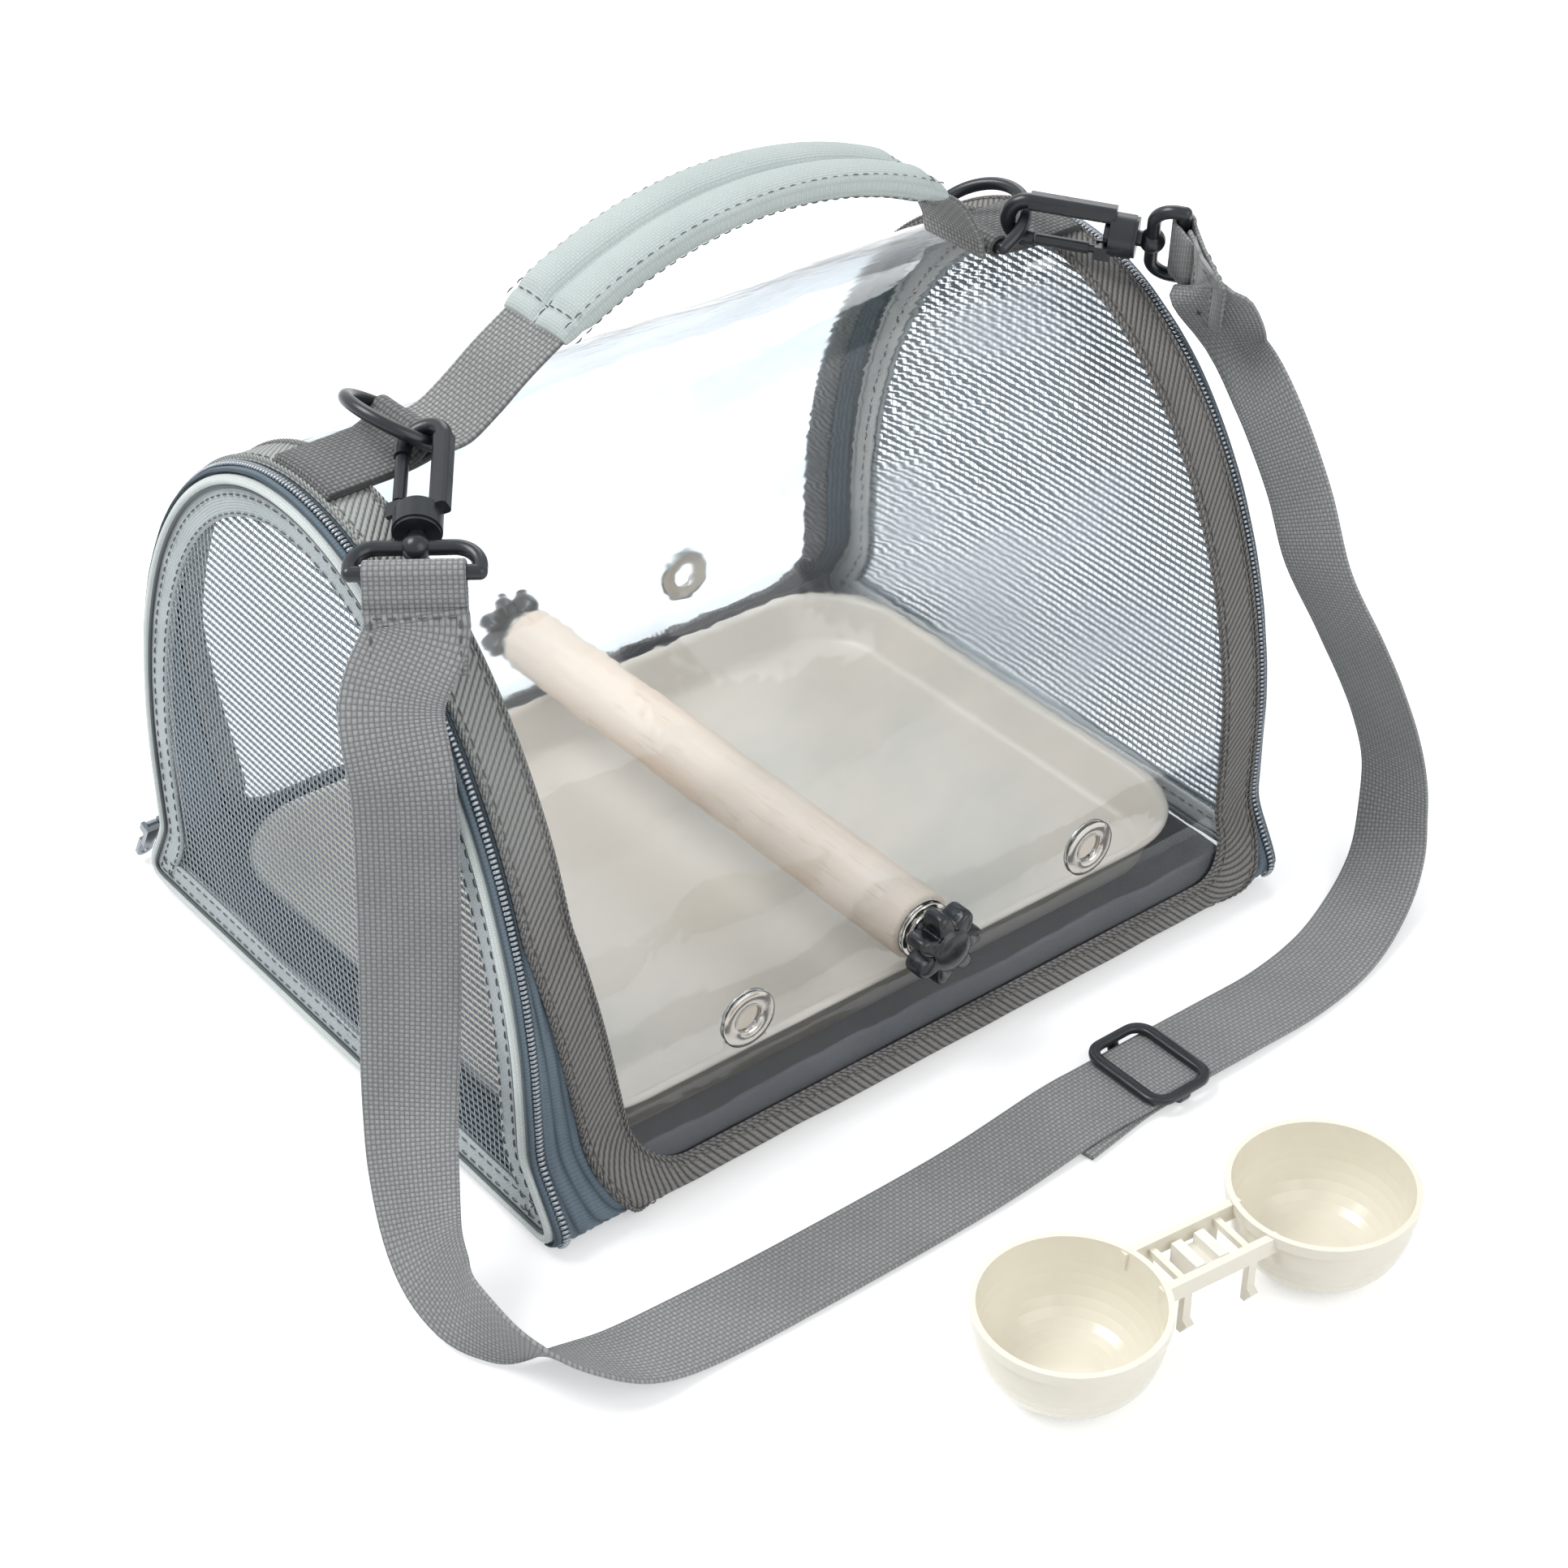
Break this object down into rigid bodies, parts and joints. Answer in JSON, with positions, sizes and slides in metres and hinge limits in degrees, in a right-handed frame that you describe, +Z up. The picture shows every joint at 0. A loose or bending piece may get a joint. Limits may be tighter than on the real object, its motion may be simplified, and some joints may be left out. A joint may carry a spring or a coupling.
{
  "type": "bird travel carrier",
  "caption": "Clear arched bird carrier with mesh zip doors, wooden perch, tray, clip-on feeder, padded handle and shoulder strap.",
  "frame": {"origin": "centre of the bag's bottom, on the floor", "axes": "+Z up, +X along the ridge and the handle towards the right door, -Y to the side where the strap and the feeder lie"},
  "size_m": [0.3341, 0.3598, 0.2207],
  "materials": {
    "clear_sheet": "clear flexible vinyl",
    "edge_tape": "herringbone twill tape",
    "webbing": "woven webbing, small check",
    "zip_fabric": "zip tape and coil",
    "piping": "round fabric piping",
    "mesh_fabric": "open knitted mesh",
    "lining": "sewn binding",
    "base_cloth": "coated cloth",
    "board": "stiff base board",
    "zip_metal": "plated slider",
    "nickel": "bright nickel",
    "wood": "plain pale birch",
    "black_plastic": "moulded knob",
    "hook_plastic": "moulded acetal",
    "tray_plastic": "moulded tray",
    "sleeve": "padded sleeve",
    "feeder_plastic": "moulded cream plastic",
    "feeder_white": "moulded white plastic"
  },
  "bodies": {
    "carrier": {"base_fabric": "base_cloth", "base_board": "board", "base_liner": "base_cloth", "clear_wall": "clear_sheet", "edge_binding": "edge_tape", "left_zip_tape": "zip_fabric", "right_zip_tape": "zip_fabric", "left_zip_coil": "zip_fabric", "right_zip_coil": "zip_fabric", "front_eyelets": "nickel", "back_eyelets": "nickel", "perch_rod": "wood", "perch_studs": "nickel", "perch_washers": "nickel", "left_ring_tab": "webbing", "right_ring_tab": "webbing", "left_strap_eye": "hook_plastic", "right_strap_eye": "hook_plastic", "left_strap_fold": "webbing", "right_strap_fold": "webbing", "shoulder_strap": "webbing"},
    "left_door": {"left_door_piping": "piping", "left_door_border": "lining", "left_door_mesh": "mesh_fabric", "left_door_lining": "lining"},
    "right_door": {"right_door_piping": "piping", "right_door_border": "lining", "right_door_mesh": "mesh_fabric", "right_door_lining": "lining"},
    "left_zip_slider": {"left_slider": "zip_metal"},
    "right_zip_slider": {"right_slider": "zip_metal"},
    "left_zip_pull": {"left_pull": "zip_metal"},
    "right_zip_pull": {"right_pull": "zip_metal"},
    "front_knob_body": {"front_knob": "black_plastic"},
    "back_knob_body": {"back_knob": "black_plastic"},
    "drip_tray": {"tray": "tray_plastic"},
    "left_d_ring": {"left_ring": "hook_plastic"},
    "right_d_ring": {"right_ring": "hook_plastic"},
    "left_snap_hook": {"left_hook": "hook_plastic"},
    "right_snap_hook": {"right_hook": "hook_plastic"},
    "left_hook_gate": {"left_gate": "hook_plastic"},
    "right_hook_gate": {"right_gate": "hook_plastic"},
    "handle": {"handle_sleeve": "sleeve", "left_handle_webbing": "webbing", "right_handle_webbing": "webbing"},
    "glide": {"tri_glide": "hook_plastic"},
    "feeder": {"feeder_cups": "feeder_plastic", "feeder_block": "feeder_white"}
  },
  "joints": [
    {"name": "left_door_hinge", "type": "hinge", "parent": "carrier", "child": "left_door", "pos_m": [-0.1284, 0, 0.002], "axis": [0, 1, 0], "range_deg": [0, 20]},
    {"name": "right_door_hinge", "type": "hinge", "parent": "carrier", "child": "right_door", "pos_m": [0.1284, 0, 0.002], "axis": [0, 1, 0], "range_deg": [0, 90]},
    {"name": "left_zip_slide", "type": "slide", "parent": "carrier", "child": "left_zip_slider", "axis": [0, -0.5039, 0.8638], "range_m": [0, 0.008]},
    {"name": "left_pull_swing", "type": "hinge", "parent": "left_zip_slider", "child": "left_zip_pull", "pos_m": [-0.126, 0.10582, 0.01678], "axis": [1, 0, 0], "range_deg": [0, 90]},
    {"name": "right_zip_slide", "type": "slide", "parent": "carrier", "child": "right_zip_slider", "axis": [0, -0.5039, 0.8638], "range_m": [0, 0.008]},
    {"name": "right_pull_swing", "type": "hinge", "parent": "right_zip_slider", "child": "right_zip_pull", "pos_m": [0.126, 0.10582, 0.01678], "axis": [1, 0, 0], "range_deg": [0, 90]},
    {"name": "front_knob_turn", "type": "hinge", "parent": "carrier", "child": "front_knob_body", "pos_m": [0, -0.1, 0.038], "axis": [0, 1, 0], "continuous": true},
    {"name": "back_knob_turn", "type": "hinge", "parent": "carrier", "child": "back_knob_body", "pos_m": [0, 0.1, 0.038], "axis": [0, 1, 0], "continuous": true},
    {"name": "tray_slide", "type": "slide", "parent": "carrier", "child": "drip_tray", "axis": [1, 0, 0], "range_m": [0, 0.006]},
    {"name": "left_ring_tilt", "type": "hinge", "parent": "carrier", "child": "left_d_ring", "pos_m": [-0.091, 0, 0.1814], "axis": [0, 1, 0], "range_deg": [-3, 3]},
    {"name": "left_hook_spin", "type": "hinge", "parent": "carrier", "child": "left_snap_hook", "pos_m": [-0.0968, -0.0152, 0.185], "axis": [0.5794, 0.7692, 0.2697], "range_deg": [-4, 4]},
    {"name": "left_gate_swing", "type": "hinge", "parent": "left_snap_hook", "child": "left_hook_gate", "pos_m": [-0.11252, -0.02769, 0.17727], "axis": [0.4678, -0.0428, -0.8828], "range_deg": [0, 18], "stiffness_Nm_per_rad": 0.02},
    {"name": "right_ring_tilt", "type": "hinge", "parent": "carrier", "child": "right_d_ring", "pos_m": [0.091, 0, 0.1814], "axis": [0, 1, 0], "range_deg": [-3, 3]},
    {"name": "right_hook_spin", "type": "hinge", "parent": "carrier", "child": "right_snap_hook", "pos_m": [0.1015, -0.0131, 0.1864], "axis": [-0.6202, 0.7803, 0.08], "range_deg": [-4, 4]},
    {"name": "right_gate_swing", "type": "hinge", "parent": "right_snap_hook", "child": "right_hook_gate", "pos_m": [0.1143, -0.02885, 0.17926], "axis": [0.7842, 0.6192, 0.04], "range_deg": [0, 18], "stiffness_Nm_per_rad": 0.02},
    {"name": "handle_swing", "type": "hinge", "parent": "carrier", "child": "handle", "pos_m": [0, 0, 0.178], "axis": [1, 0, 0], "range_deg": [-40, 40], "deforming": ["left_handle_webbing", "right_handle_webbing"]},
    {"name": "glide_slide", "type": "slide", "parent": "carrier", "child": "glide", "axis": [1, 0, 0], "range_m": [-0.01, 0.01]},
    {"name": "feeder_lift", "type": "slide", "parent": "carrier", "child": "feeder", "axis": [0, 0, 1], "range_m": [0, 0.04]}
  ]
}
